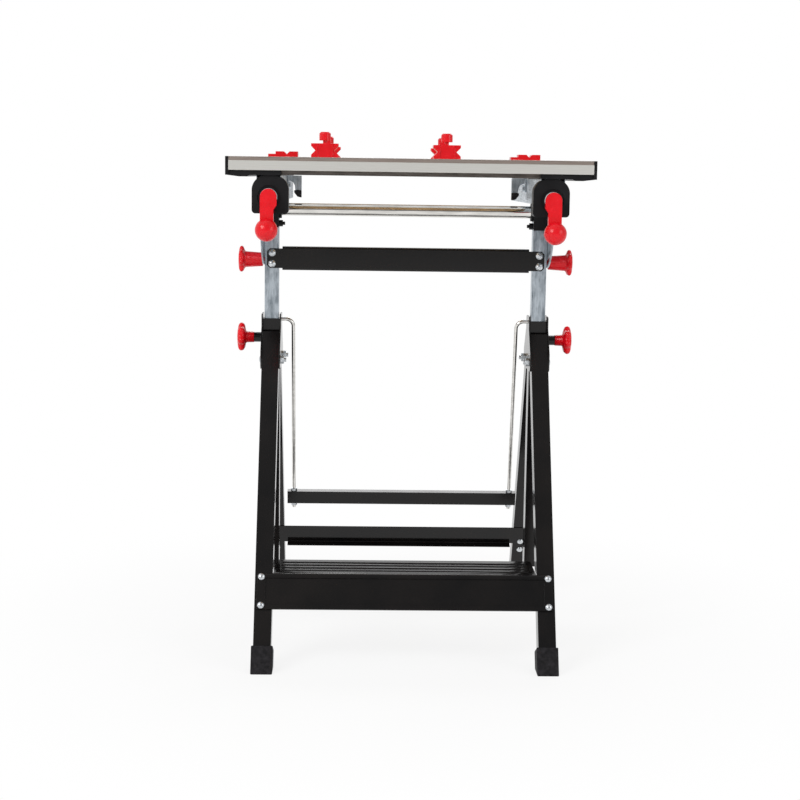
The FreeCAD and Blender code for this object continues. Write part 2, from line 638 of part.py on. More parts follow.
def rear_crossbar():
    """Angle across the front faces of the rear legs, with a tab bolted down each leg."""
    face = f"(-({HALF_LEG}) - sheet_gauge)"
    tab_end = f"({LEG_OUT} - tab_margin)"
    band = block((f"-{tab_end}", face, "-bar_low"), (tab_end, f"-({HALF_LEG})", "-bar_high"))
    tab = block((LEG_IN, face, "-bar_high - bar_tab"), (tab_end, f"-({HALF_LEG})", "-bar_high"))
    inside = f"({LEG_IN} - bar_short)"
    flange = block((f"-{inside}", f"{face} - bar_flange + sheet_gauge", "-bar_low"),
                   (inside, f"-({HALF_LEG})", "-bar_low + sheet_gauge"))
    whole = join(band, tab, mirrored(tab), flange)
    return turned(whole, ("0", "pivot_offset", "pivot_height"), "open_angle")


front_leg = leg()
keep_pair("front_leg", front_leg)
keep_pair("rear_leg", mirrored(front_leg, (0, 1, 0)))
front_cap = foot_cap()
keep("front_foot_caps", group(front_cap, mirrored(front_cap)))
rear_cap = mirrored(front_cap, (0, 1, 0))
keep("rear_foot_caps", group(rear_cap, mirrored(rear_cap)))
keep("tray", tray())
keep("rear_crossbar", rear_crossbar())

front_bolts = turned(group(*leg_bolts(
    f"({LEG_OUT} - tab_margin - tray_border / 2)",
    ("-tray_low + tray_bolt_inset", "-tray_high - tray_bolt_inset"),
    "(sheet_gauge + tray_swage)")), FRONT_PIVOT, FRONT_TURN)
keep("front_leg_bolts", group(front_bolts, mirrored(front_bolts)))
BAR_BOLT = "(-bar_high - bar_tab + bar_bolt_inset)"
rear_bolts = group(*leg_bolts(SIDE, (f"{BAR_BOLT} + bar_bolt_pitch", BAR_BOLT), "sheet_gauge"))
turned(rear_bolts, ("0", "pivot_offset", "pivot_height"), "open_angle")
keep("rear_leg_bolts", group(rear_bolts, mirrored(rear_bolts)))


# ---------------------------------------------------------------- bail

def bail_rods():
    """Two rods, each bent out at the top into the hinge plates, drawn about the pivot line."""
    line = "bail_spacing / 2"
    corner = "(bail_bend + bail_rod_radius)"
    upright = rod("bail_rod_radius", (line, "0", "-bail_reach - bail_bar_height / 2 - 9"),
                  f"bail_reach + bail_bar_height / 2 + 9 - {corner}", "Z")
    arm = rod("bail_rod_radius", (f"{line} + {corner}", "0", "0"),
              f"{LEG_IN} - slide_gap - {line} - {corner}", "X")
    bend = new("Torus")
    bend.setExpression("Radius1", bound(corner))
    bend.setExpression("Radius2", bound("bail_rod_radius"))
    bend.Angle3 = 90
    bend.Placement.Rotation = FreeCAD.Rotation(
        FreeCAD.Vector(-1, 0, 0), FreeCAD.Vector(0, 0, 1), FreeCAD.Vector(0, 1, 0), "ZXY"
    )
    put(bend, (f"{line} + {corner}", "0", f"-{corner}"))
    bent = join(upright, bend, arm)
    return turned(group(bent, mirrored(bent)), ("0", "bail_back", "bail_height"), "bail_lean")


def bail_bar():
    """Rectangular tube, closed at its ends, that ties the bail's rods together."""
    half = "(bail_bar_length / 2)"
    bar = block((f"-{half}", "-bail_bar_depth / 2", "-bail_reach - bail_bar_height / 2"),
                (half, "bail_bar_depth / 2", "-bail_reach + bail_bar_height / 2"))
    wall = "sheet_gauge"
    inside = block(
        (f"-{half} + {wall}", f"-bail_bar_depth / 2 + {wall}",
         f"-bail_reach - bail_bar_height / 2 + {wall}"),
        (f"{half} - {wall}", f"bail_bar_depth / 2 - {wall}",
         f"-bail_reach + bail_bar_height / 2 - {wall}"),
    )
    holes = [rod("bail_rod_radius", (f"{way} * bail_spacing / 2", "0", "-bail_reach - 20"), "40")
             for way in (-1, 1)]
    return turned(cut(bar, inside, *holes), ("0", "bail_back", "bail_height"), "bail_lean")


def bail_nuts():
    nuts = []
    for low in ("-bail_reach + bail_bar_height / 2", "-bail_reach - bail_bar_height / 2 - 5"):
        nut = hexagon("small_nut_flats", ("bail_spacing / 2", "0", low), "5")
        bore = rod("bail_rod_radius", ("bail_spacing / 2", "0", f"{low} - 1"), "7")
        ring = cut(nut, bore)
        nuts += [ring, mirrored(ring)]
    return turned(group(*nuts), ("0", "bail_back", "bail_height"), "bail_lean")


keep("bail_rods", bail_rods())
keep("bail_bar", bail_bar())
keep("bail_nuts", bail_nuts())


# ---------------------------------------------------------------- lifting head

HEAD_BOLT_HEIGHT = "(head_bottom + 7)"
HEAD_IN = "(post_spacing / 2 - head_inside)"
POST_IN = "(post_spacing / 2 - post_width / 2)"
POST_FRONT = "(-post_width / 2)"
UPPER_MIDDLE = "(upper_bar_low + upper_bar_height / 2)"
UPPER_BOLTS = [f"{UPPER_MIDDLE} {sign} upper_bolt_pitch / 2" for sign in "-+"]


def post():
    """Galvanised square tube with holes for its bolts and the tilt stud."""
    low = f"(sleeve_bottom + lift_down + 5)"
    half = f"({HALF_POST})"
    outer = block((f"{SIDE} - {half}", f"-{half}", low), (f"{SIDE} + {half}", half, "post_top"))
    wall = "post_wall"
    inner = block((f"{SIDE} - {half} + {wall}", f"-{half} + {wall}", f"{low} - 1"),
                  (f"{SIDE} + {half} - {wall}", f"{half} - {wall}", "post_top + 1"))
    stud = rod(STUD_HOLE, (SIDE, "0", "tilt_knob_height"), "post_width", "X")
    head_bolt = rod("bolt_radius", (f"{SIDE} - post_width", "0", HEAD_BOLT_HEIGHT),
                    "post_width * 2", "X")
    bar_bolts = [rod("bolt_radius", ("upper_bolt_place", "-post_width", height), "post_width", "Y")
                 for height in UPPER_BOLTS]
    return cut(outer, inner, stud, head_bolt, *bar_bolts)


def hinge_head():
    """Moulded head over the post's front and back, plugged into it, round the cross tube."""
    out = f"({SIDE} + {HALF_POST})"
    lower = block((POST_IN, "-head_radius", "head_bottom"), (out, "head_radius", "tilt_height"))
    crown = rod("head_radius", (HEAD_IN, "0", "tilt_height"), f"{out} - {HEAD_IN}", "X")
    seat = block((f"{POST_IN} - 1", f"-({HALF_POST})", "head_bottom - 1"),
                 (f"{out} + 1", HALF_POST, "post_top"))
    fill = f"({HALF_POST} - post_wall - slide_gap)"
    plug = block((f"{SIDE} - {fill}", f"-{fill}", "head_bottom"),
                 (f"{SIDE} + {fill}", fill, "post_top + 1"))
    bore = rod("tilt_tube_radius", (f"{HEAD_IN} - 1", "0", "tilt_height"), "post_width * 2", "X")
    bolt = rod("bolt_radius", (f"{POST_IN} - 1", "0", HEAD_BOLT_HEIGHT), "post_width + 2", "X")
    return cut(join(cut(join(lower, crown), seat), plug), bore, bolt)


def tilt_tube():
    """Chromed cross tube on the tilt axis, through both heads and both sectors."""
    end = "(rail_outside + sector_gauge)"
    outer = rod("tilt_tube_radius", (f"-{end}", "0", "tilt_height"), f"{end} * 2", "X")
    inner = rod("tilt_tube_radius - tilt_tube_wall", (f"-{end} - 1", "0", "tilt_height"),
                f"{end} * 2 + 2", "X")
    return cut(outer, inner)


def upper_crossbar():
    """Channel between the posts, with a flat tab over the front of each post."""
    face = f"({POST_FRONT} - sheet_gauge)"
    high = "(upper_bar_low + upper_bar_height)"
    back = f"({face} + upper_bar_depth)"
    outer = profile("YZ", (
        (face, "upper_bar_low"), (back, "upper_bar_low"), (back, high), (face, high),
    ), "-upper_bar_half", "upper_bar_half", (("bend_radius", (0, 3)),))
    inner = block(("-upper_bar_half - 1", f"{face} + sheet_gauge", "upper_bar_low + sheet_gauge"),
                  ("upper_bar_half + 1", f"{back} + 1", f"{high} - sheet_gauge"))
    half_tab = "upper_tab_height / 2"
    chamfer = "upper_tab_chamfer"
    tab = profile("XZ", (
        ("-upper_tab_half", f"{UPPER_MIDDLE} - {half_tab} + {chamfer}"),
        (f"-upper_tab_half + {chamfer}", f"{UPPER_MIDDLE} - {half_tab}"),
        (f"upper_tab_half - {chamfer}", f"{UPPER_MIDDLE} - {half_tab}"),
        ("upper_tab_half", f"{UPPER_MIDDLE} - {half_tab} + {chamfer}"),
        ("upper_tab_half", f"{UPPER_MIDDLE} + {half_tab} - {chamfer}"),
        (f"upper_tab_half - {chamfer}", f"{UPPER_MIDDLE} + {half_tab}"),
        (f"-upper_tab_half + {chamfer}", f"{UPPER_MIDDLE} + {half_tab}"),
        ("-upper_tab_half", f"{UPPER_MIDDLE} + {half_tab} - {chamfer}"),
    ), face, POST_FRONT)
    holes = [rod("bolt_radius", (f"{way} * upper_bolt_place", "-post_width", height), "post_width", "Y")
             for way in (-1, 1) for height in UPPER_BOLTS]
    return cut(join(cut(outer, inner), tab), *holes)


def lift_bolts():
    """Domed bolts of the crossbar's tabs and the bolt with its nut through each head."""
    face = f"({POST_FRONT} - sheet_gauge)"
    pieces = []
    for height in UPPER_BOLTS:
        shank = rod("bolt_radius", ("upper_bolt_place", face, height), "sheet_gauge + 8", "Y")
        head = dome("dome_radius + 0.6", "dome_height", ("upper_bolt_place", face, height), "Y", -1)
        pieces.append(join(shank, head))
    nut = hexagon("small_nut_flats", (f"{POST_IN} - nut_height", "0", HEAD_BOLT_HEIGHT),
                  "nut_height", "X")
    shank = rod("bolt_radius", (f"{POST_IN} - nut_height - 4", "0", HEAD_BOLT_HEIGHT),
                "post_width + nut_height + 4", "X")
    pieces.append(join(nut, shank))
    return group(*pieces, *[mirrored(piece) for piece in pieces])


keep_pair("post", post())
keep_pair("hinge_head", hinge_head())
keep("tilt_tube", tilt_tube())
keep("upper_crossbar", upper_crossbar())
keep("lift_bolts", lift_bolts())


# ---------------------------------------------------------------- boards

def board(front, rows):
    """Laminated panel between its edgings, with rows of dog holes right through it."""
    half = "(table_width / 2 - end_gauge)"
    panel = block((f"-{half}", f"{front} + edging_depth", BOARD_UNDER),
                  (half, f"{front} + board_depth - edging_depth", "table_top"))
    holes = [rod("dog_hole_radius", (place, f"{front} + {row}", f"{BOARD_UNDER} - 1"),
                 "board_thickness + 2")
             for row, places in rows for place in places]
    return cut(panel, group(*holes))


def edging(front):
    """Aluminium sections along both long edges, each with a recessed upper band."""
    half = "(table_width / 2 - end_gauge)"
    pieces = []
    for low, band in ((front, f"({front}) - 1"),
                      (f"({front} + board_depth - edging_depth)",
                       f"{front} + board_depth - edging_step")):
        bar = block((f"-{half}", low, BOARD_UNDER), (half, f"{low} + edging_depth", "table_top"))
        recess = block((f"-{half} - 1", band, "table_top - edging_lip"),
                       (f"{half} + 1", f"{band} + 1 + edging_step", "table_top - 1"))
        pieces.append(cut(bar, recess))
    return group(*pieces)


def board_end(front):
    """Plastic end moulding, turned under the board as the shoe that sits on the rail."""
    end = block(("table_width / 2 - end_gauge", front, RAIL_TOP),
                ("table_width / 2", f"{front} + board_depth", "table_top"))
    ledge = "(table_width / 2 - rail_outside)"
    shoe = profile("XZ", (
        ("shoe_inside", RAIL_TOP),
        (f"rail_outside + {ledge} * 0.2", RAIL_TOP),
        (f"rail_outside + {ledge} * 0.3", f"{RAIL_TOP} - shoe_bulge"),
        (f"rail_outside + {ledge} * 0.55", f"{RAIL_TOP} - shoe_bulge"),
        ("table_width / 2 - 1", RAIL_TOP),
        ("table_width / 2 - 1", BOARD_UNDER),
        ("shoe_inside", BOARD_UNDER),
    ), f"{front} + 4", f"{front} + board_depth - 4")
    return join(end, shoe)


FRONT_PLACES = [f"(hole_shift + {index} * hole_pitch)" for index in range(-2, 3)]
REAR_PLACES = [f"(rear_hole_shift + {index} * rear_hole_pitch)" for index in range(-2, 3)]
BACK_PLACES = ["-back_dog_place"] + REAR_PLACES + ["back_dog_place"]
FRONT_ROWS = (("front_row", FRONT_PLACES), ("back_row", FRONT_PLACES))
REAR_ROWS = (("rear_row", REAR_PLACES), ("back_row", BACK_PLACES))


def dog_clear(front, rows, shoe):
    """The shoe moulding with the dog holes that fall on it opened."""
    holes = [rod("dog_hole_radius", (place, f"{front} + {row}", f"{RAIL_TOP} - 5"), "12")
             for row, places in rows for place in places if place == "back_dog_place"]
    return cut(shoe, *holes)


for name, front, rows in (("front", FRONT_EDGE, FRONT_ROWS), ("rear", REAR_EDGE, REAR_ROWS)):
    keep(f"{name}_board", board(front, rows))
    keep(f"{name}_board_edging", edging(front))
    moulding = dog_clear(front, rows, board_end(front))
    keep(f"{name}_board_ends", group(moulding, mirrored(moulding)))


# ---------------------------------------------------------------- table frame

RAIL_IN = "(rail_outside - rail_width)"
RAIL_FRONT = f"({HOUSING_FACE} + rail_inset)"
RAIL_BACK = f"({RAIL_FRONT} + rail_length)"


def rail():
    """Channel that opens upwards; the jaw nut runs inside it."""
    outer = block((RAIL_IN, RAIL_FRONT, "rail_bottom"), ("rail_outside", RAIL_BACK, RAIL_TOP))
    inner = block((f"{RAIL_IN} + rail_gauge", f"{RAIL_FRONT} - 1", "rail_bottom + rail_gauge"),
                  ("rail_outside - rail_gauge", f"{RAIL_BACK} + 1", f"{RAIL_TOP} + 1"))
    return cut(outer, inner)


def sector():
    """Plate on the rail's outer face: pivot bore, curved slot and rounded lower quadrant."""
    turn = FreeCAD.Rotation(
        FreeCAD.Vector(0, 0, -1), FreeCAD.Vector(0, -1, 0), FreeCAD.Vector(-1, 0, 0), "ZXY"
    )
    outside = "(rail_outside + sector_gauge)"

    def sweep(radius, angle, start, thickness, place):
        piece = new("Cylinder")
        piece.setExpression("Radius", bound(radius))
        piece.setExpression("Height", bound(thickness))
        piece.setExpression("Angle", bound(angle))
        piece.Placement.Rotation = turn.multiply(FreeCAD.Rotation(FreeCAD.Vector(0, 0, 1), start))
        put(piece, (place, "0", "tilt_height"))
        return piece

    quadrant = sweep("sector_radius", "tilt_range + 20", -10, "sector_gauge", outside)
    crown = profile("YZ", (
        ("-22", "tilt_height - 20"), ("16", "tilt_height - 20"), ("20", "tilt_height"),
        ("sector_foot", f"{RAIL_TOP} - 24"), ("sector_foot", f"{RAIL_TOP} - 2"),
        ("-sector_foot", f"{RAIL_TOP} - 2"), ("-sector_foot", f"{RAIL_TOP} - 24"),
        ("-30", "tilt_height"),
    ), "rail_outside", outside)
    slot = cut(sweep(f"slot_radius + {STUD_HOLE}", "tilt_range", 0, "sector_gauge + 2", f"{outside} + 1"),
               rod(f"slot_radius - knob_stud_radius - slide_gap",
                   ("rail_outside - 2", "0", "tilt_height"), "sector_gauge + 4", "X"))
    slot_ends = [rod(STUD_HOLE, ("rail_outside - 1", f"-slot_radius * sin({angle})",
                                 f"tilt_height - slot_radius * cos({angle})"),
                     "sector_gauge + 2", "X") for angle in ("0", "tilt_range")]
    bore = rod("tilt_tube_radius + slide_gap", ("rail_outside - 1", "0", "tilt_height"),
               "sector_gauge + 2", "X")
    return cut(join(quadrant, crown), slot, *slot_ends, bore)


def screw_housing():
    """Moulded bearing block over the rail's front end, with a round recess in its face."""
    middle = "screw_place - housing_shift"
    low, high = f"({middle} - housing_half)", f"({middle} + housing_half)"
    body = profile("XZ", (
        (low, "housing_bottom"), (high, "housing_bottom"), (high, RAIL_TOP), (low, RAIL_TOP),
    ), HOUSING_FACE, f"{HOUSING_FACE} + housing_depth",
        (("housing_crown", (2, 3)), ("housing_corner", (0, 1))))
    recess = rod("recess_radius", ("screw_place", f"{HOUSING_FACE} - 1", "screw_height"),
                 "recess_depth + 1", "Y")
    bore = rod("screw_radius + slide_gap", ("screw_place", f"{HOUSING_FACE} - 1", "screw_height"),
               "housing_depth + 2", "Y")
    pocket = block((RAIL_IN, RAIL_FRONT, "rail_bottom"),
                   ("rail_outside", f"{HOUSING_FACE} + housing_depth + 1", f"{RAIL_TOP} + 1"))
    return cut(body, recess, bore, pocket)


def cross_strip():
    """Folded steel strip under the front board, between the shoes."""
    front = f"({FRONT_EDGE} + strip_front)"
    low = f"({BOARD_UNDER} - strip_height)"
    section = (
        (front, low), (f"{front} + sheet_gauge", low),
        (f"{front} + sheet_gauge", f"{BOARD_UNDER} - sheet_gauge"),
        (f"{front} + strip_depth", f"{BOARD_UNDER} - sheet_gauge"),
        (f"{front} + strip_depth", BOARD_UNDER), (front, BOARD_UNDER),
    )
    return profile("YZ", section, "-shoe_inside", "shoe_inside")


STOP_TOP = f"({RAIL_TOP})"


def stop_plates():
    """Plate that reaches in from each rail and hangs down, with a nut on its rail flange."""
    low = f"({STOP_TOP} - stop_drop)"
    hang = profile("XZ", (
        (RAIL_IN, f"{STOP_TOP} - stop_neck"),
        (RAIL_IN, STOP_TOP),
        ("stop_inside", STOP_TOP),
        ("stop_inside", low),
        ("stop_outside - stop_taper", low),
        ("stop_outside - stop_taper * 3 / 4", f"{STOP_TOP} - stop_slope - stop_sweep"),
        ("stop_outside", f"{STOP_TOP} - stop_slope"),
        ("stop_outside + stop_sweep", f"{STOP_TOP} - stop_neck - 0.5"),
    ), "-stop_gauge / 2", "stop_gauge / 2")
    flange = block((f"{RAIL_IN} - stop_gauge", "-stop_flange_half", f"{STOP_TOP} - stop_flange_height"),
                   (RAIL_IN, "stop_flange_half", STOP_TOP))
    edge = block(("stop_inside", "-stop_gauge / 2", low),
                 ("stop_inside + stop_gauge", "stop_fold", STOP_TOP))
    nut = hexagon("small_nut_flats",
                  (f"{RAIL_IN} - stop_gauge - stop_nut_height", "stop_nut_back",
                   f"{STOP_TOP} - stop_nut_drop"),
                  "stop_nut_height", "X")
    plate = join(hang, flange, edge, nut)
    return group(plate, mirrored(plate))


def stop_pads():
    low = f"({STOP_TOP} - stop_drop)"
    pad = profile("XZ", (
        ("stop_inside", low),
        ("stop_inside", f"{low} - stop_pad_height"),
        ("stop_inside + stop_pad_toe", f"{low} - stop_pad_height + 1.5"),
        ("stop_outside - 2", f"{low} - 4"),
        ("stop_outside - 2", low),
    ), "-stop_pad_front", "stop_fold")
    return group(pad, mirrored(pad))


keep_pair("rail", rail())
sector_plate = sector()
keep("sector_plates", group(sector_plate, mirrored(sector_plate)))
keep_pair("screw_housing", screw_housing())
keep("cross_strip", cross_strip())
keep("stop_plates", stop_plates())
keep("stop_pads", stop_pads())


# ---------------------------------------------------------------- vice screws, nuts and cranks

def vice_screw():
    """Plain-drawn screw with the bright collar that shows in the housing's recess."""
    shaft = rod("screw_radius", ("screw_place", f"{CRANK_BACK} - 7", "screw_height"),
                f"screw_tail + 7 - {CRANK_BACK}", "Y")
    collar = rod("recess_radius - collar_gap", ("screw_place", f"{CRANK_BACK} + slide_gap", "screw_height"),
                 f"{HOUSING_FACE} + recess_depth - slide_gap * 2 - {CRANK_BACK}", "Y")
    return join(shaft, collar)


def crank():
    """Crank arm with a rounded head, a narrower waist and the pin that carries the ball."""
    head = rod("crank_radius", ("screw_place", CRANK_FACE, "screw_height"), "crank_gauge", "Y")
    foot_x = "(screw_place + crank_set)"
    foot_z = "(screw_height - crank_length)"
    cheek = "screw_height - crank_cheek"
    waist = "screw_height - crank_waist"
    arm = profile("XZ", (
        ("screw_place - crank_radius", "screw_height"),
        ("screw_place - crank_radius", cheek),
        (f"{foot_x} - crank_foot_half", waist),
        (f"{foot_x} - crank_foot_half", foot_z),
        (f"{foot_x} + crank_foot_half", foot_z),
        (f"{foot_x} + crank_foot_half", waist),
        ("screw_place + crank_radius", cheek),
        ("screw_place + crank_radius", "screw_height"),
    ), CRANK_FACE, CRANK_BACK)
    foot = rod("crank_foot_half", (foot_x, CRANK_FACE, foot_z), "crank_gauge", "Y")
    pin = rod("ball_pin_radius", (foot_x, f"{CRANK_FACE} - 20", foot_z), "22", "Y")
    socket = rod("screw_radius", ("screw_place", f"{CRANK_BACK} - 7", "screw_height"), "7", "Y")
    return cut(join(head, arm, foot, pin), socket)


def crank_ball():
    """Handle ball that turns on the crank's pin, flat where it faces the arm."""
    foot_x = "(screw_place + crank_set)"
    foot_z = "(screw_height - crank_length)"
    middle = f"({CRANK_FACE} - slide_gap - ball_sink)"
    whole = ball("ball_radius", (foot_x, middle, foot_z))
    behind = block(("0", f"{CRANK_FACE} - slide_gap", "0"), ("table_width", "0", "table_top"))
    bore = rod("ball_pin_radius + slide_gap", (foot_x, f"{CRANK_FACE} - 20 - slide_gap", foot_z),
               "30", "Y")
    return cut(whole, behind, bore)


def jaw_nuts():
    """Nut blocks under the rear board's shoes, running in the rails on the screws."""
    wall = "(rail_gauge + slide_gap)"
    body = block((f"{RAIL_IN} + {wall}", "nut_place", "rail_bottom + rail_gauge + slide_gap"),
                 (f"rail_outside - {wall}", "nut_place + nut_depth", RAIL_TOP))
    bore = rod("screw_radius + slide_gap", ("screw_place", "nut_place - 1", "screw_height"),
               "nut_depth + 2", "Y")
    nut = cut(body, bore)
    return group(nut, mirrored(nut))


keep_pair("vice_screw", vice_screw())
keep_pair("crank", crank())
keep_pair("crank_ball", crank_ball())
keep("jaw_nuts", jaw_nuts())


# ---------------------------------------------------------------- star knobs

STAR_LOBES = 7


def star_knob(start, height, hub_length, hub_radius, flare, star_radius, star_gauge, stud_length):
    """Star knob on the outside of the bench, with its hub towards the post and its stud."""
    hub = taper(hub_radius, f"{hub_radius} + {flare}", (start, "0", height), hub_length, "X")
    star_start = f"({start} + {hub_length})"
    ring = f"({star_radius} - lobe_radius)"
    disc = rod(f"{ring} + 1", (star_start, "0", height), star_gauge, "X")
    lobes = []
    for index in range(STAR_LOBES):
        angle = 360 / STAR_LOBES * index
        lobes.append(rod("lobe_radius", (
            star_start, f"{ring} * sin({angle})", f"{height} + {ring} * cos({angle})",
        ), star_gauge, "X"))
    stud = rod("knob_stud_radius", (f"{start} - {stud_length}", "0", height),
               f"{stud_length} + 5", "X")
    return join(hub, disc, *lobes, stud)


keep_pair("tilt_knob", star_knob("(rail_outside + sector_gauge + slide_gap)", "tilt_knob_height",
                                 "tilt_hub_length", "tilt_hub_radius", "tilt_hub_flare",
                                 "tilt_star_radius", "tilt_star_gauge", "(sector_gauge + 8)"))
keep_pair("lift_knob", star_knob(f"({PLATE_OUT} + boss_length + slide_gap)", "lift_knob_height",
                                 "lift_hub_length", "lift_hub_radius", "0.5",
                                 "lift_star_radius", "lift_star_gauge",
                                 "(boss_length + plate_gauge + leg_width / 2 - post_width / 2)"))


# ---------------------------------------------------------------- clamping dogs

def shank(x, y):
    return rod("dog_hole_radius - slide_gap", (x, y, "table_top - dog_shank_length"),
               "dog_shank_length + 1")


def tall_dog(x, y):
    """Dog with a V notch in each side, a ribbed face and a turned head on a thin stem."""
    half, deep = "(dog_width / 2)", "(dog_depth / 2)"
    low, high = "table_top", "(table_top + dog_body_height)"
    middle = "(table_top + dog_body_height / 2)"
    body = profile("XZ", (
        (f"{x} - {half}", low), (f"{x} + {half}", low),
        (f"{x} + {half}", f"{middle} - dog_notch"), (f"{x} + {half} - dog_notch", middle),
        (f"{x} + {half}", f"{middle} + dog_notch"), (f"{x} + {half}", high),
        (f"{x} - {half}", high), (f"{x} - {half}", f"{middle} + dog_notch"),
        (f"{x} - {half} + dog_notch", middle), (f"{x} - {half}", f"{middle} - dog_notch"),
    ), f"{y} - {deep}", f"{y} + {deep}")
    stem = rod("dog_stem_radius", (x, y, f"{high} - 1"), "dog_stem_length + 2")
    head_top = f"({high} + dog_stem_length + dog_head_height)"
    head = rod("dog_head_radius", (x, y, f"{high} + dog_stem_length"),
               "dog_head_height - dog_head_chamfer")
    crown = taper("dog_head_radius", "dog_head_radius - dog_head_chamfer",
                  (x, y, f"{head_top} - dog_head_chamfer"), "dog_head_chamfer")
    ribs = [block((f"{x} {side} dog_rib_place - dog_rib_width / 2", f"{y} - {deep} - dog_rib_height", low),
                  (f"{x} {side} dog_rib_place + dog_rib_width / 2", f"{y} + {deep} + dog_rib_height", high))
            for side in "-+"]
    return join(body, shank(x, y), stem, head, crown, *ribs)


def low_dog(x, y):
    """Low dog with a V notch across its top and a thin tab on one side."""
    deep = "(dog_depth / 2)"
    low, high, tab_top = "table_top", "(table_top + low_dog_height)", "(table_top + low_dog_tab_height)"
    left = f"({x} - (low_dog_body + low_dog_tab) / 2)"
    right = f"({x} + (low_dog_body + low_dog_tab) / 2)"
    notch = f"({right} - low_dog_body / 2)"
    body = profile("XZ", (
        (left, low), (right, low), (right, high),
        (f"{notch} + low_dog_notch", high), (notch, f"{high} - low_dog_notch"),
        (f"{notch} - low_dog_notch", high), (f"{left} + low_dog_tab", high),
        (f"{left} + low_dog_tab", tab_top), (left, tab_top),
    ), f"{y} - {deep}", f"{y} + {deep}")
    return join(body, shank(x, y))


FRONT_LINE = f"({FRONT_EDGE} + front_row)"
REAR_LINE = f"({REAR_EDGE} + rear_row)"
BACK_LINE = f"({REAR_EDGE} + back_row)"
for row, line, places in (("front", FRONT_LINE, FRONT_PLACES), ("rear", REAR_LINE, REAR_PLACES)):
    keep(f"{row}_dog_left", tall_dog(places[0], line))
    keep(f"{row}_dog_right", tall_dog(places[3], line))
keep("low_dog_left", low_dog("(-back_dog_place)", BACK_LINE))
keep("low_dog_right", low_dog("back_dog_place", BACK_LINE))


# ---------------------------------------------------------------- checks and files

doc.recompute()
failed = [item.Label for item in doc.Objects if {"Invalid", "Error"} & set(item.State)]
if failed:
    raise SystemExit("failed objects: " + ", ".join(failed))
for piece in sub_parts:
    if piece.Shape.isNull() or not piece.Shape.isValid() or not piece.Shape.Solids:
        raise SystemExit("bad shape: " + piece.Label)

os.makedirs("parts", exist_ok=True)
for piece in sub_parts:
    piece.Shape.exportStep(os.path.join("parts", piece.Label + ".step"))
    print(f"{piece.Label:22s} {len(piece.Shape.Solids):2d} solids {piece.Shape.Volume / 1000:9.2f} cm3")
print(len(sub_parts), "sub-parts")
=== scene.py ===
"""Dresses the folding workbench: steelwork, boards, screws, moulded knobs and dogs, finishes."""
import json
import math
import bmesh
import bpy
from mathutils import Matrix, Vector


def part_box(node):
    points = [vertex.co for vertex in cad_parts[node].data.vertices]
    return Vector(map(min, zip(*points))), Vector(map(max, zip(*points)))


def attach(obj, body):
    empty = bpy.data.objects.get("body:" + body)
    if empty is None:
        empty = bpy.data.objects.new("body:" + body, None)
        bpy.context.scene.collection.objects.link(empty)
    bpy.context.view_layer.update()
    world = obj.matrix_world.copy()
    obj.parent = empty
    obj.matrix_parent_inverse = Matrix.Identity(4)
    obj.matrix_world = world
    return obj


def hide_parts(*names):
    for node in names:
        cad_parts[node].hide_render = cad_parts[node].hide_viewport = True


MM = 0.001
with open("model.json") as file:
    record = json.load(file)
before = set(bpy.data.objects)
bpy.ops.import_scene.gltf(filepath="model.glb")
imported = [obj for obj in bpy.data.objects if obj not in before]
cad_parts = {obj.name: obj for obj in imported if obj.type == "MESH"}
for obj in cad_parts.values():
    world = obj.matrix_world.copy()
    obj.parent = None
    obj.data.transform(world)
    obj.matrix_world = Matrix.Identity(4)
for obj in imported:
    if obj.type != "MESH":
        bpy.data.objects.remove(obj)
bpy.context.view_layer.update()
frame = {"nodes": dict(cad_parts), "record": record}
nodes = frame["nodes"]
body_of = {node: body for body, members in frame["record"]["behaviour"]["bodies"].items()
           for node in members}


# ---------------------------------------------------------------- shader helpers

def colour(hex_code):
    """An sRGB hex colour as the linear values that a shader takes."""
    channels = [int(hex_code[i:i + 2], 16) / 255 for i in (1, 3, 5)]
    linear = [c / 12.92 if c <= 0.04045 else ((c + 0.055) / 1.055) ** 2.4 for c in channels]
    return (*linear, 1.0)


def grey(value):
    """A linear grey."""
    return (value, value, value, 1.0)


def add(tree, kind, settings=None, **inputs):
    """A node with its settings; an input is a value, or another node's socket to link.

    An input is named with underscores for blanks, or i0, i1 and so on by its index.
    """
    node = tree.nodes.new(kind)
    for name, value in (settings or {}).items():
        setattr(node, name, value)
    for name, value in inputs.items():
        by_index = name[0] == "i" and name[1:].isdigit()
        socket = node.inputs[int(name[1:]) if by_index else name.replace("_", " ")]
        if isinstance(value, bpy.types.NodeSocket):
            tree.links.new(value, socket)
        else:
            socket.default_value = value
    return node


def maths(tree, operation, first, second):
    """The result of a maths node on two sockets."""
    return add(tree, "ShaderNodeMath", {"operation": operation}, i0=first, i1=second).outputs[0]


def smooth_range(tree, value, start, end, low, high):
    """A value carried smoothly from the range start to end over to the range low to high."""
    node = add(tree, "ShaderNodeMapRange", {"interpolation_type": "SMOOTHSTEP"}, Value=value,
               From_Min=start, From_Max=end, To_Min=low, To_Max=high)
    return node.outputs[0]


def finish(name, **fixed):
    """A new material: itself, its tree, its Principled shader and its object coordinates."""
    material = bpy.data.materials.new(name)
    material.use_nodes = True
    tree = material.node_tree
    shader = tree.nodes["Principled BSDF"]
    for socket, value in fixed.items():
        shader.inputs[socket.replace("_", " ")].default_value = value
    place = add(tree, "ShaderNodeTexCoord").outputs["Object"]
    return material, tree, shader, place


def noise(tree, place, scale, detail):
    """A noise pattern; a scale of 1 / (2 * MM) has grains of about 2 mm."""
    return add(tree, "ShaderNodeTexNoise", Vector=place, Scale=scale, Detail=detail).outputs["Fac"]


def scaled(tree, place, x, y, z):
    """Object coordinates with a scale of its own along each axis."""
    return add(tree, "ShaderNodeMapping", Vector=place, Scale=(x, y, z)).outputs["Vector"]


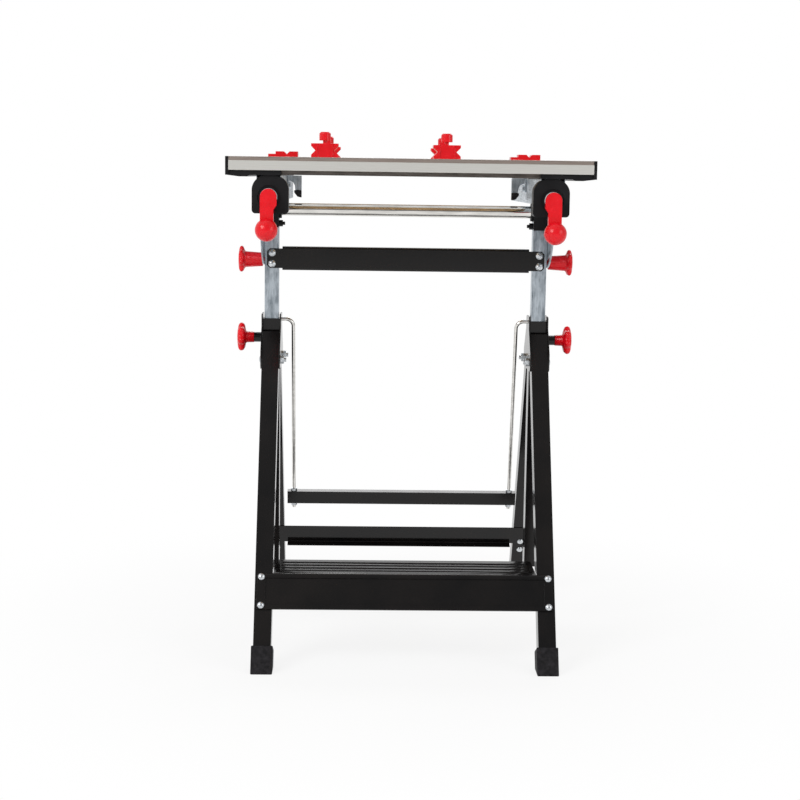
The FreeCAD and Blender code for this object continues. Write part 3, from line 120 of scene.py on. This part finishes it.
def ramp(tree, factor, *stops):
    """A colour ramp with stops of (position, colour)."""
    node = add(tree, "ShaderNodeValToRGB", Fac=factor)
    band = node.color_ramp
    while len(band.elements) < len(stops):
        band.elements.new(0.5)
    for element, (position, tint) in zip(band.elements, stops):
        element.position = position
        element.color = tint
    return node.outputs["Color"]


def tinted(tree, shader, factor, start, dark, end, pale):
    """Drives the base colour from dark to pale as the factor goes from start to end."""
    tint = ramp(tree, factor, (start, colour(dark)), (end, colour(pale)))
    tree.links.new(tint, shader.inputs["Base Color"])


def roughened(tree, shader, factor, start, first, end, last):
    """Drives the roughness from first to last as the factor goes from start to end."""
    rough = ramp(tree, factor, (start, grey(first)), (end, grey(last)))
    tree.links.new(rough, shader.inputs["Roughness"])


def bump(tree, shader, height, strength, distance):
    """Raises the surface by a pattern; the distance is in millimetres."""
    node = add(tree, "ShaderNodeBump", Strength=strength, Distance=distance * MM, Height=height)
    tree.links.new(node.outputs["Normal"], shader.inputs["Normal"])


# ---------------------------------------------------------------- finishes

def stove_enamel():
    """Gloss stove enamel on steel: near black, with the faint orange peel of sprayed paint."""
    material, tree, shader, place = finish("stove_enamel", Specular_IOR_Level=0.32)
    cloud = noise(tree, place, 14.0, 3.0)
    tinted(tree, shader, cloud, 0.3, "#0c0b0c", 0.7, "#161312")
    roughened(tree, shader, cloud, 0.3, 0.11, 0.75, 0.18)
    bump(tree, shader, noise(tree, place, 1 / (2.2 * MM), 2.0), 0.06, 0.15)
    return material


def galvanised(name, patch_scale, streak_scale):
    """Bright electro-galvanised steel: a cool grey, streaked along the piece by drawing."""
    material, tree, shader, place = finish(name, Metallic=1.0)
    patch = add(tree, "ShaderNodeTexNoise", Vector=scaled(tree, place, *patch_scale),
                Scale=1 / (9 * MM), Detail=5.0, Roughness=0.6)
    streak = add(tree, "ShaderNodeTexNoise", Vector=scaled(tree, place, *streak_scale),
                 Scale=1 / (0.9 * MM), Detail=3.0)
    mix = add(tree, "ShaderNodeMix", {"data_type": "RGBA"}, i0=0.4,
              i6=patch.outputs["Color"], i7=streak.outputs["Color"])
    value = add(tree, "ShaderNodeSeparateColor", Color=mix.outputs[2]).outputs["Red"]
    tinted(tree, shader, value, 0.38, "#7d878f", 0.6, "#ccd5dd")
    roughened(tree, shader, value, 0.3, 0.42, 0.7, 0.26)
    bump(tree, shader, value, 0.12, 0.1)
    return material


def bright_zinc():
    """Passivated zinc on bolts and nuts: pale, bluish and half polished."""
    material, tree, shader, place = finish("bright_zinc", Metallic=1.0)
    cloud = noise(tree, place, 1 / (3 * MM), 4.0)
    tinted(tree, shader, cloud, 0.3, "#b9bec3", 0.7, "#e3e6e8")
    roughened(tree, shader, cloud, 0.3, 0.34, 0.7, 0.2)
    bump(tree, shader, cloud, 0.08, 0.05)
    return material


def strip_steel_painted_shade():
    """Steel strip under the board, coloured dark grey-brown and dull as painted shade of the board
    above; its tone varies at random in streaks.
    """
    material, tree, shader, place = finish("strip_steel_painted_shade", Metallic=0.6)
    streak_tone = noise(tree, scaled(tree, place, 0.15, 1, 1), 1 / (4 * MM), 4.0)
    # the dark grey-brown range is painted shade: the shade under the board, put into the strip's
    # colour
    tinted(tree, shader, streak_tone, 0.3, "#4a4440", 0.7, "#6b6560")
    roughened(tree, shader, streak_tone, 0.3, 0.6, 0.7, 0.45)
    return material


def chromium():
    """Chromium plate: nearly a mirror, with the fine haze of handling."""
    material, tree, shader, place = finish("chromium_plate", Metallic=1.0)
    haze = noise(tree, scaled(tree, place, 0.2, 1, 1), 1 / (6 * MM), 4.0)
    tinted(tree, shader, haze, 0.3, "#c9c7c3", 0.7, "#e8e6e2")
    roughened(tree, shader, haze, 0.35, 0.05, 0.75, 0.13)
    return material


def satin_aluminium():
    """Satin anodised aluminium extrusion: soft warm grey, brushed along its length."""
    material, tree, shader, place = finish("satin_aluminium", Metallic=1.0, Anisotropic=0.4)
    brushed = noise(tree, scaled(tree, place, 0.012, 1, 1), 1 / (0.5 * MM), 4.0)
    tinted(tree, shader, brushed, 0.3, "#e2e0da", 0.7, "#f2f1ec")
    roughened(tree, shader, brushed, 0.3, 0.46, 0.7, 0.36)
    bump(tree, shader, brushed, 0.08, 0.05)
    return material


def aluminium_painted_recess_shade():
    """The recessed upper band of the extrusion: the same metal, coloured darker and warmer as
    painted shade of the recess.
    """
    material, tree, shader, place = finish("aluminium_painted_recess_shade", Metallic=0.85, Roughness=0.55)
    drawn = noise(tree, scaled(tree, place, 0.02, 1, 1), 1 / (0.8 * MM), 4.0)
    # a darker, warmer grey than the satin aluminium: painted shade of the recessed band
    tinted(tree, shader, drawn, 0.3, "#8d817a", 0.7, "#a3978f")
    bump(tree, shader, drawn, 0.1, 0.05)
    return material


def pressed_bamboo():
    """Pressed bamboo board under clear lacquer: narrow strips laid side by side along X."""
    material, tree, shader, place = finish("pressed_bamboo", Coat_Weight=0.3, Coat_Roughness=0.25)
    strips = add(tree, "ShaderNodeTexBrick", {"offset": 0.37, "offset_frequency": 2},
                 Vector=place, Color1=grey(0.25), Color2=grey(0.75), Mortar=grey(0.0),
                 Scale=1.0, Mortar_Size=0.15 * MM, Brick_Width=0.31, Row_Height=6.5 * MM)
    tone = ramp(tree, strips.outputs["Color"], (0.0, colour("#8a6234")),
                (0.25, colour("#c99a5c")), (0.75, colour("#dcb377")))
    grain = noise(tree, scaled(tree, place, 0.02, 1, 1), 1 / (0.7 * MM), 5.0)
    veins = ramp(tree, grain, (0.35, grey(0.72)), (0.6, grey(1.0)))
    tint = add(tree, "ShaderNodeMix", {"data_type": "RGBA", "blend_type": "MULTIPLY"},
               i0=1.0, i6=tone, i7=veins)
    tree.links.new(tint.outputs[2], shader.inputs["Base Color"])
    roughened(tree, shader, grain, 0.3, 0.5, 0.7, 0.38)
    bump(tree, shader, veins, 0.15, 0.1)
    return material


def moulded_nylon():
    """Black glass-filled nylon: spark-eroded mould texture, a dull sheen."""
    material, tree, shader, place = finish("moulded_nylon", Specular_IOR_Level=0.2)
    tinted(tree, shader, noise(tree, place, 30.0, 2.0), 0.3, "#0e0e10", 0.7, "#19191b")
    grit = noise(tree, place, 1 / (0.6 * MM), 3.0)
    roughened(tree, shader, grit, 0.3, 0.36, 0.7, 0.48)
    bump(tree, shader, grit, 0.15, 0.08)
    return material


def red_abs():
    """Red ABS from a polished mould: saturated, glossy, with slight flow marks."""
    material, tree, shader, place = finish(
        "red_abs", IOR=1.54, Specular_IOR_Level=0.3, Subsurface_Weight=0.06,
        Subsurface_Scale=1.5 * MM, Subsurface_Radius=(1.0, 0.2, 0.1))
    flow = noise(tree, place, 1 / (18 * MM), 2.0)
    tinted(tree, shader, flow, 0.3, "#dc0a17", 0.7, "#e81221")
    roughened(tree, shader, flow, 0.3, 0.2, 0.7, 0.3)
    bump(tree, shader, noise(tree, place, 1 / (1.5 * MM), 2.0), 0.04, 0.1)
    return material


def foot_rubber():
    """Matt black rubber with the chalky bloom of a new foot cap."""
    material, tree, shader, place = finish("foot_rubber", Specular_IOR_Level=0.15, Roughness=0.62)
    bloom = noise(tree, place, 1 / (7 * MM), 5.0)
    tinted(tree, shader, bloom, 0.35, "#141315", 0.7, "#2a282b")
    bump(tree, shader, noise(tree, place, 1 / (0.8 * MM), 3.0), 0.25, 0.15)
    return material


ENAMEL = stove_enamel()
GALVANISED = galvanised("galvanised_tube", (1, 1, 0.35), (1, 1, 0.02))
GALVANISED_RAIL = galvanised("galvanised_rail", (1, 0.35, 1), (1, 0.02, 1))
ZINC = bright_zinc()
CHROME = chromium()
STRIP_PAINTED_SHADE = strip_steel_painted_shade()
ALUMINIUM = satin_aluminium()
RECESS_SHADE_ALUMINIUM = aluminium_painted_recess_shade()
BAMBOO = pressed_bamboo()
NYLON = moulded_nylon()
RED = red_abs()
RUBBER = foot_rubber()


# ---------------------------------------------------------------- making pieces

WELD = 0.002 * MM       # vertices nearer than this are one
FLAT_ANGLE = 0.6        # faces that meet at less than this, in degrees, are one
SHARP_ANGLE = 28        # edges sharper than this are rounded
LATHE_TURN = {"X": Matrix.Rotation(math.pi / 2, 4, "Y"), "Y": Matrix.Rotation(-math.pi / 2, 4, "X")}


def piece_from(shape, node, material, smooth):
    """Turns a finished bmesh into the piece that takes a CAD node's place on its body.

    Faces that meet at less than the smooth angle, in degrees, are shaded as one.
    """
    name = node + "_finished"
    mesh = bpy.data.meshes.new(name)
    shape.to_mesh(mesh)
    shape.free()
    mesh.materials.append(material)
    mesh.shade_smooth()
    mesh.set_sharp_from_angle(angle=math.radians(smooth))
    piece = bpy.data.objects.new(name, mesh)
    bpy.context.scene.collection.objects.link(piece)
    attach(piece, body_of[node])
    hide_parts(node)
    return piece


def softened(node, material, radius, segments=3, angle=SHARP_ANGLE):
    """A copy of a CAD node whose flat faces are whole again and whose edges are rounded.

    The edges are rounded as bending, moulding or tumbling leaves them; the radius is in
    millimetres.
    """
    shape = bmesh.new()
    shape.from_mesh(nodes[node].data)
    bmesh.ops.remove_doubles(shape, verts=shape.verts, dist=WELD)
    bmesh.ops.dissolve_limit(shape, angle_limit=math.radians(FLAT_ANGLE), verts=shape.verts,
                             edges=shape.edges, delimit={"NORMAL"})
    piece = piece_from(shape, node, material, smooth=32)
    bevel = piece.modifiers.new("edge_round", "BEVEL")
    bevel.width = radius * MM
    bevel.segments = segments
    bevel.limit_method = "ANGLE"
    bevel.angle_limit = math.radians(angle)
    bevel.harden_normals = True
    bevel.use_clamp_overlap = True
    return piece


def soften_all(members, *how):
    """Softens several nodes alike."""
    for node in members:
        softened(node, *how)


def lathe(profile, place, axis, steps):
    """A solid turned about an axis; the profile is (along the axis, radius), in millimetres."""
    shape = bmesh.new()
    points = [shape.verts.new((radius * MM, 0, along * MM)) for along, radius in profile]
    edges = [shape.edges.new(pair) for pair in zip(points, points[1:])]
    bmesh.ops.spin(shape, geom=points + edges, cent=(0, 0, 0), axis=(0, 0, 1),
                   angle=2 * math.pi, steps=steps, use_merge=True, use_duplicate=False)
    bmesh.ops.remove_doubles(shape, verts=shape.verts, dist=WELD)
    bmesh.ops.recalc_face_normals(shape, faces=shape.faces)
    bmesh.ops.transform(shape, matrix=Matrix.Translation(place) @ LATHE_TURN[axis],
                        verts=shape.verts)
    return shape


# ---------------------------------------------------------------- steelwork

soften_all(("sleeve_left", "sleeve_right", "front_leg_left", "front_leg_right",
            "rear_leg_left", "rear_leg_right"), ENAMEL, 2.0)
soften_all(("hinge_plates_left", "hinge_plates_right"), ENAMEL, 0.6, 2)
soften_all(("tray", "rear_crossbar"), ENAMEL, 1.1, 4)
softened("upper_crossbar", ENAMEL, 0.7, 3)
softened("bail_bar", ENAMEL, 2.5, 4)
soften_all(("post_left", "post_right"), GALVANISED, 1.6)
soften_all(("rail_left", "rail_right"), GALVANISED_RAIL, 1.0)
soften_all(("sector_plates", "stop_plates"), GALVANISED, 0.4, 2)
# the cross strip takes a dark steel colour as painted shade of the board above it
softened("cross_strip", STRIP_PAINTED_SHADE, 0.4, 2)
soften_all(("front_leg_bolts", "rear_leg_bolts", "bail_nuts", "pivot_bolts"), ZINC, 0.4, 2)

lift_bolts = softened("lift_bolts", ZINC, 0.4, 2)
# black nylon on the nuts inside the hinge heads is painted shade: these zinc nuts sit in the heads'
# shade
lift_bolts.data.materials.append(NYLON)
head_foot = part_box("hinge_head_left")[0].z
for face in lift_bolts.data.polygons:
    if face.center.z > head_foot:       # the zinc nuts inside the hinge heads are coloured black as painted shade of the heads
        face.material_index = 1

soften_all(("bail_rods", "tilt_tube"), CHROME, 0.3, 2, 50)

SCREW_RADIUS = 4.5
SCREW_STEPS = 24
COLLAR_START, COLLAR_END = 7.3, 19.2
COLLAR_CHAMFER = 0.8
PLAIN_LENGTH = 26       # between the collar and the first ring
THREAD_PITCH = 4.0
THREAD_RING = ((0, 0), (1.2, 0), (2, 1.1), (3.2, 1.1))      # along the screw, depth
TIP_STEP = 0.6          # the tip's radius is smaller by this


def vice_screw(node):
    """Screw with its collar near the crank and a thread, drawn as rings, behind it."""
    low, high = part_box(node)
    length = (high.y - low.y) / MM
    collar = (high.z - low.z) / 2 / MM
    outline = [(0, 0), (0, SCREW_RADIUS), (COLLAR_START, SCREW_RADIUS),
               (COLLAR_START, collar - COLLAR_CHAMFER), (COLLAR_START + COLLAR_CHAMFER, collar),
               (COLLAR_END - COLLAR_CHAMFER, collar), (COLLAR_END, collar - COLLAR_CHAMFER),
               (COLLAR_END, SCREW_RADIUS)]
    along = COLLAR_END + PLAIN_LENGTH
    while along < length - THREAD_PITCH:
        outline += [(along + step, SCREW_RADIUS - depth) for step, depth in THREAD_RING]
        along += THREAD_PITCH
    outline += [(along, SCREW_RADIUS - TIP_STEP), (length, SCREW_RADIUS - TIP_STEP), (length, 0)]
    place = Vector(((low.x + high.x) / 2, low.y, (low.z + high.z) / 2))
    piece_from(lathe(outline, place, "Y", SCREW_STEPS), node, ZINC, smooth=35)


for side in ("left", "right"):
    vice_screw(f"vice_screw_{side}")


# ---------------------------------------------------------------- boards and mouldings

BAND_HEIGHT = 6.6       # of the edging's recessed upper band
FACING = 0.5            # the band's faces look more than this to the front or back

soften_all(("front_board", "rear_board"), BAMBOO, 0.3, 2)
for node in ("front_board_edging", "rear_board_edging"):
    edging = softened(node, ALUMINIUM, 0.35, 2)
    # the recessed band's front and back faces get the darker aluminium as painted shade
    edging.data.materials.append(RECESS_SHADE_ALUMINIUM)
    band_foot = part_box(node)[1].z - BAND_HEIGHT * MM
    for face in edging.data.polygons:
        if face.center.z > band_foot and abs(face.normal.y) > FACING:
            face.material_index = 1
soften_all(("front_board_ends", "rear_board_ends"), NYLON, 1.0)
soften_all(("hinge_head_left", "hinge_head_right"), NYLON, 1.5)
soften_all(("screw_housing_left", "screw_housing_right"), NYLON, 2.0, 4)
softened("jaw_nuts", NYLON, 1.0)
soften_all(("front_foot_caps", "rear_foot_caps"), RUBBER, 2.2, 4)
softened("stop_pads", RUBBER, 1.2)


# ---------------------------------------------------------------- red mouldings

KNOBS = {
    # hub length, hub radius, flared hub radius, star radius, star thickness
    "tilt": (32.5, 12.2, 14.2, 24, 11),
    "lift": (15, 9.5, 10, 26, 15),
}
STUD_RADIUS, STUD_CHAMFER = 4.0, 0.5
HUB_CHAMFER = 0.6
FLARE_LENGTH = 2        # the hub reaches its flared radius this far before the star
LIP_LENGTH, LIP_RISE = 0.4, 1.4         # and widens once more as it runs into the star
STAR_RIM = (
    # share of the star's thickness, share of its radius
    (0.10, 0.80), (0.22, 0.93), (0.40, 0.99), (0.52, 1.0), (0.66, 0.98), (0.80, 0.91),
    (0.91, 0.76), (0.98, 0.52), (1.0, 0.40), (1.0, 0),
)
STAR_LOBES = 7
LOBE_DEPTH = 0.17       # share of the radius that is pressed in between two lobes
LOBE_MARGIN = 1         # the pressing starts this far out from the hub
STAR_STEPS = 84


def star_outline(kind, whole_length):
    """Half section of a knob: stud, hub, and a star whose rim is round like a lens."""
    hub, thin, thick, star, gauge = KNOBS[kind]
    stud = whole_length - hub - gauge
    rim = stud + hub
    return [(0, 0), (0, STUD_RADIUS - STUD_CHAMFER), (STUD_CHAMFER, STUD_RADIUS),
            (stud, STUD_RADIUS), (stud, thin - HUB_CHAMFER), (stud + HUB_CHAMFER, thin),
            (rim - FLARE_LENGTH, thick), (rim - LIP_LENGTH, thick + LIP_RISE),
            *((rim + gauge * along, star * out) for along, out in STAR_RIM)]


def knob_height(kind):
    """Height of a knob's axis, read from the joint on which it turns."""
    joints = frame["record"]["behaviour"]["joints"]
    return next(joint["pos_m"][2] for joint in joints if joint["name"] == f"left_{kind}_knob_turn")


def star_knob(kind, side):
    """Star knob whose lobes are pressed in between the fingers, round all over."""
    node = f"{kind}_knob_{side}"
    low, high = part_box(node)
    _, _, thick, star, _ = KNOBS[kind]
    shape = lathe(star_outline(kind, (high.x - low.x) / MM), Vector((0, 0, 0)), "X", STAR_STEPS)
    for vert in shape.verts:
        radius = math.hypot(vert.co.y, vert.co.z) / MM
        share = min(max((radius - thick - LOBE_MARGIN) / (star - thick - LOBE_MARGIN), 0), 1)
        wave = (1 - math.cos(STAR_LOBES * math.atan2(vert.co.y, vert.co.z))) / 2
        shrink = 1 - LOBE_DEPTH * share * wave
        vert.co.y *= shrink
        vert.co.z *= shrink
    start = low.x
    if side == "left":
        start = high.x
        bmesh.ops.scale(shape, vec=(-1, 1, 1), verts=shape.verts)
        bmesh.ops.recalc_face_normals(shape, faces=shape.faces)
    bmesh.ops.translate(shape, vec=(start, 0, knob_height(kind)), verts=shape.verts)
    piece_from(shape, node, RED, smooth=50)


for side in ("left", "right"):
    softened(f"crank_{side}", RED, 2.2, 4)
    softened(f"crank_ball_{side}", RED, 1.2, 3, 50)
    for kind in KNOBS:
        star_knob(kind, side)
soften_all(("front_dog_left", "front_dog_right", "rear_dog_left", "rear_dog_right",
            "low_dog_left", "low_dog_right"), RED, 0.9)


# ---------------------------------------------------------------- camera

CAMERA_PLACE = (-0.0828, -2.9799, 0.8277)
CAMERA_YAW = 1.46
CAMERA_PITCH = -7.737
CAMERA_ROLL = 0.8
FOCAL_PIXELS = 1653.1
FRAME_PIXELS = 800
SENSOR = 36.0


def make_camera():
    """Camera aimed by yaw, pitch and roll, in degrees, with its focal length in pixels."""
    yaw, pitch, roll = (math.radians(v) for v in (CAMERA_YAW, CAMERA_PITCH, CAMERA_ROLL))
    forward = Vector((math.sin(yaw) * math.cos(pitch), math.cos(yaw) * math.cos(pitch),
                      math.sin(pitch)))
    level = Vector((math.cos(yaw), -math.sin(yaw), 0))
    upward = level.cross(forward)
    right = math.cos(roll) * level + math.sin(roll) * upward
    up = math.cos(roll) * upward - math.sin(roll) * level
    data = bpy.data.cameras.new("camera")
    data.sensor_width = SENSOR
    data.lens = FOCAL_PIXELS / FRAME_PIXELS * SENSOR
    data.clip_end = 50
    camera = bpy.data.objects.new("camera", data)
    bpy.context.scene.collection.objects.link(camera)
    camera.matrix_world = Matrix((
        (right.x, up.x, -forward.x, CAMERA_PLACE[0]),
        (right.y, up.y, -forward.y, CAMERA_PLACE[1]),
        (right.z, up.z, -forward.z, CAMERA_PLACE[2]),
        (0, 0, 0, 1),
    ))
    bpy.context.scene.camera = camera


# ---------------------------------------------------------------- floor, surround and lamps

FLOOR_SIZE = 30
FADE_START, FADE_END = 0.35, 1.0        # metres from the middle of the floor
GLOW_NEAR = 0.84        # share of its own glow that the floor shows near the bench
DIFFUSE_LEVEL = 0.55    # strength of the surround for matt surfaces
FRONT_LEVEL = 0.36      # and for mirror rays that go to the front
RIGHT_LEVEL = 0.6       # and for those that go to the right
FRONT_RANGE = (-0.95, -0.2)     # the ray's Y over which the front's level gives way to white
RIGHT_RANGE = (-0.5, 0.5)       # the ray's X over which white gives way to the right's level
LAMPS = (
    # name, place, target, size, power
    ("key", (-2.4, -2.6, 2.6), (0, 0, 0.6), (1.6, 1.6), 70),
    ("fill", (2.6, -2.0, 1.6), (0, 0, 0.5), (1.8, 1.8), 22),
    ("back", (0.4, 2.6, 2.6), (0, 0, 0.6), (2.0, 1.2), 30),
)


def make_floor():
    """Pale floor that keeps the bench's shadow and fades into the surround away from it."""
    bpy.ops.mesh.primitive_plane_add(size=FLOOR_SIZE, location=(0, 0, 0))
    floor = bpy.context.object
    floor.name = "floor"
    material = bpy.data.materials.new("studio_floor")
    material.use_nodes = True
    tree = material.node_tree
    tree.nodes.clear()
    paths = add(tree, "ShaderNodeLightPath")
    seen = maths(tree, "MAXIMUM", paths.outputs["Is Camera Ray"], paths.outputs["Is Glossy Ray"])
    place = add(tree, "ShaderNodeTexCoord").outputs["Object"]
    away = add(tree, "ShaderNodeVectorMath", {"operation": "LENGTH"}, i0=place)
    fade = smooth_range(tree, away.outputs["Value"], FADE_START, FADE_END, GLOW_NEAR, 1.0)
    share = maths(tree, "MULTIPLY", seen, fade)
    matt = add(tree, "ShaderNodeBsdfDiffuse", Color=colour("#f2f2f2"))
    glow = add(tree, "ShaderNodeEmission", Color=grey(1.0), Strength=1.0)
    both = add(tree, "ShaderNodeMixShader", i0=share, i1=matt.outputs[0], i2=glow.outputs[0])
    add(tree, "ShaderNodeOutputMaterial", Surface=both.outputs[0])
    floor.data.materials.append(material)


def make_surround():
    """White surround, dimmer for matt surfaces and for mirror rays to the front and right."""
    world = bpy.data.worlds.new("surround")
    bpy.context.scene.world = world
    world.use_nodes = True
    tree = world.node_tree
    tree.nodes.clear()
    paths = add(tree, "ShaderNodeLightPath")
    gloss = maths(tree, "MAXIMUM", paths.outputs["Is Glossy Ray"],
                  paths.outputs["Is Transmission Ray"])
    seen = maths(tree, "MAXIMUM", paths.outputs["Is Camera Ray"], gloss)
    level = add(tree, "ShaderNodeMapRange", Value=seen, To_Min=DIFFUSE_LEVEL, To_Max=1.0)
    way = add(tree, "ShaderNodeSeparateXYZ",
              Vector=add(tree, "ShaderNodeTexCoord").outputs["Generated"])
    depth = smooth_range(tree, way.outputs["Y"], *FRONT_RANGE, FRONT_LEVEL, 1.0)
    side = smooth_range(tree, way.outputs["X"], *RIGHT_RANGE, 1.0, RIGHT_LEVEL)
    dimmed = add(tree, "ShaderNodeMix", {"data_type": "FLOAT"}, i0=gloss, i2=1.0,
                 i3=maths(tree, "MULTIPLY", depth, side))
    strength = maths(tree, "MULTIPLY", level.outputs[0], dimmed.outputs[0])
    surround = add(tree, "ShaderNodeBackground", Color=grey(1.0), Strength=strength)
    add(tree, "ShaderNodeOutputWorld", Surface=surround.outputs[0])


def area_lamp(name, place, target, size, power):
    """Soft white lamp aimed at a point."""
    data = bpy.data.lights.new(name, "AREA")
    data.shape = "RECTANGLE"
    data.size, data.size_y = size
    data.energy = power
    lamp = bpy.data.objects.new(name, data)
    bpy.context.scene.collection.objects.link(lamp)
    lamp.location = place
    aim = Vector(target) - Vector(place)
    lamp.rotation_euler = aim.to_track_quat("-Z", "Y").to_euler()


make_camera()
make_floor()
make_surround()
for lamp in LAMPS:
    area_lamp(*lamp)
bpy.context.scene.view_settings.view_transform = "Standard"
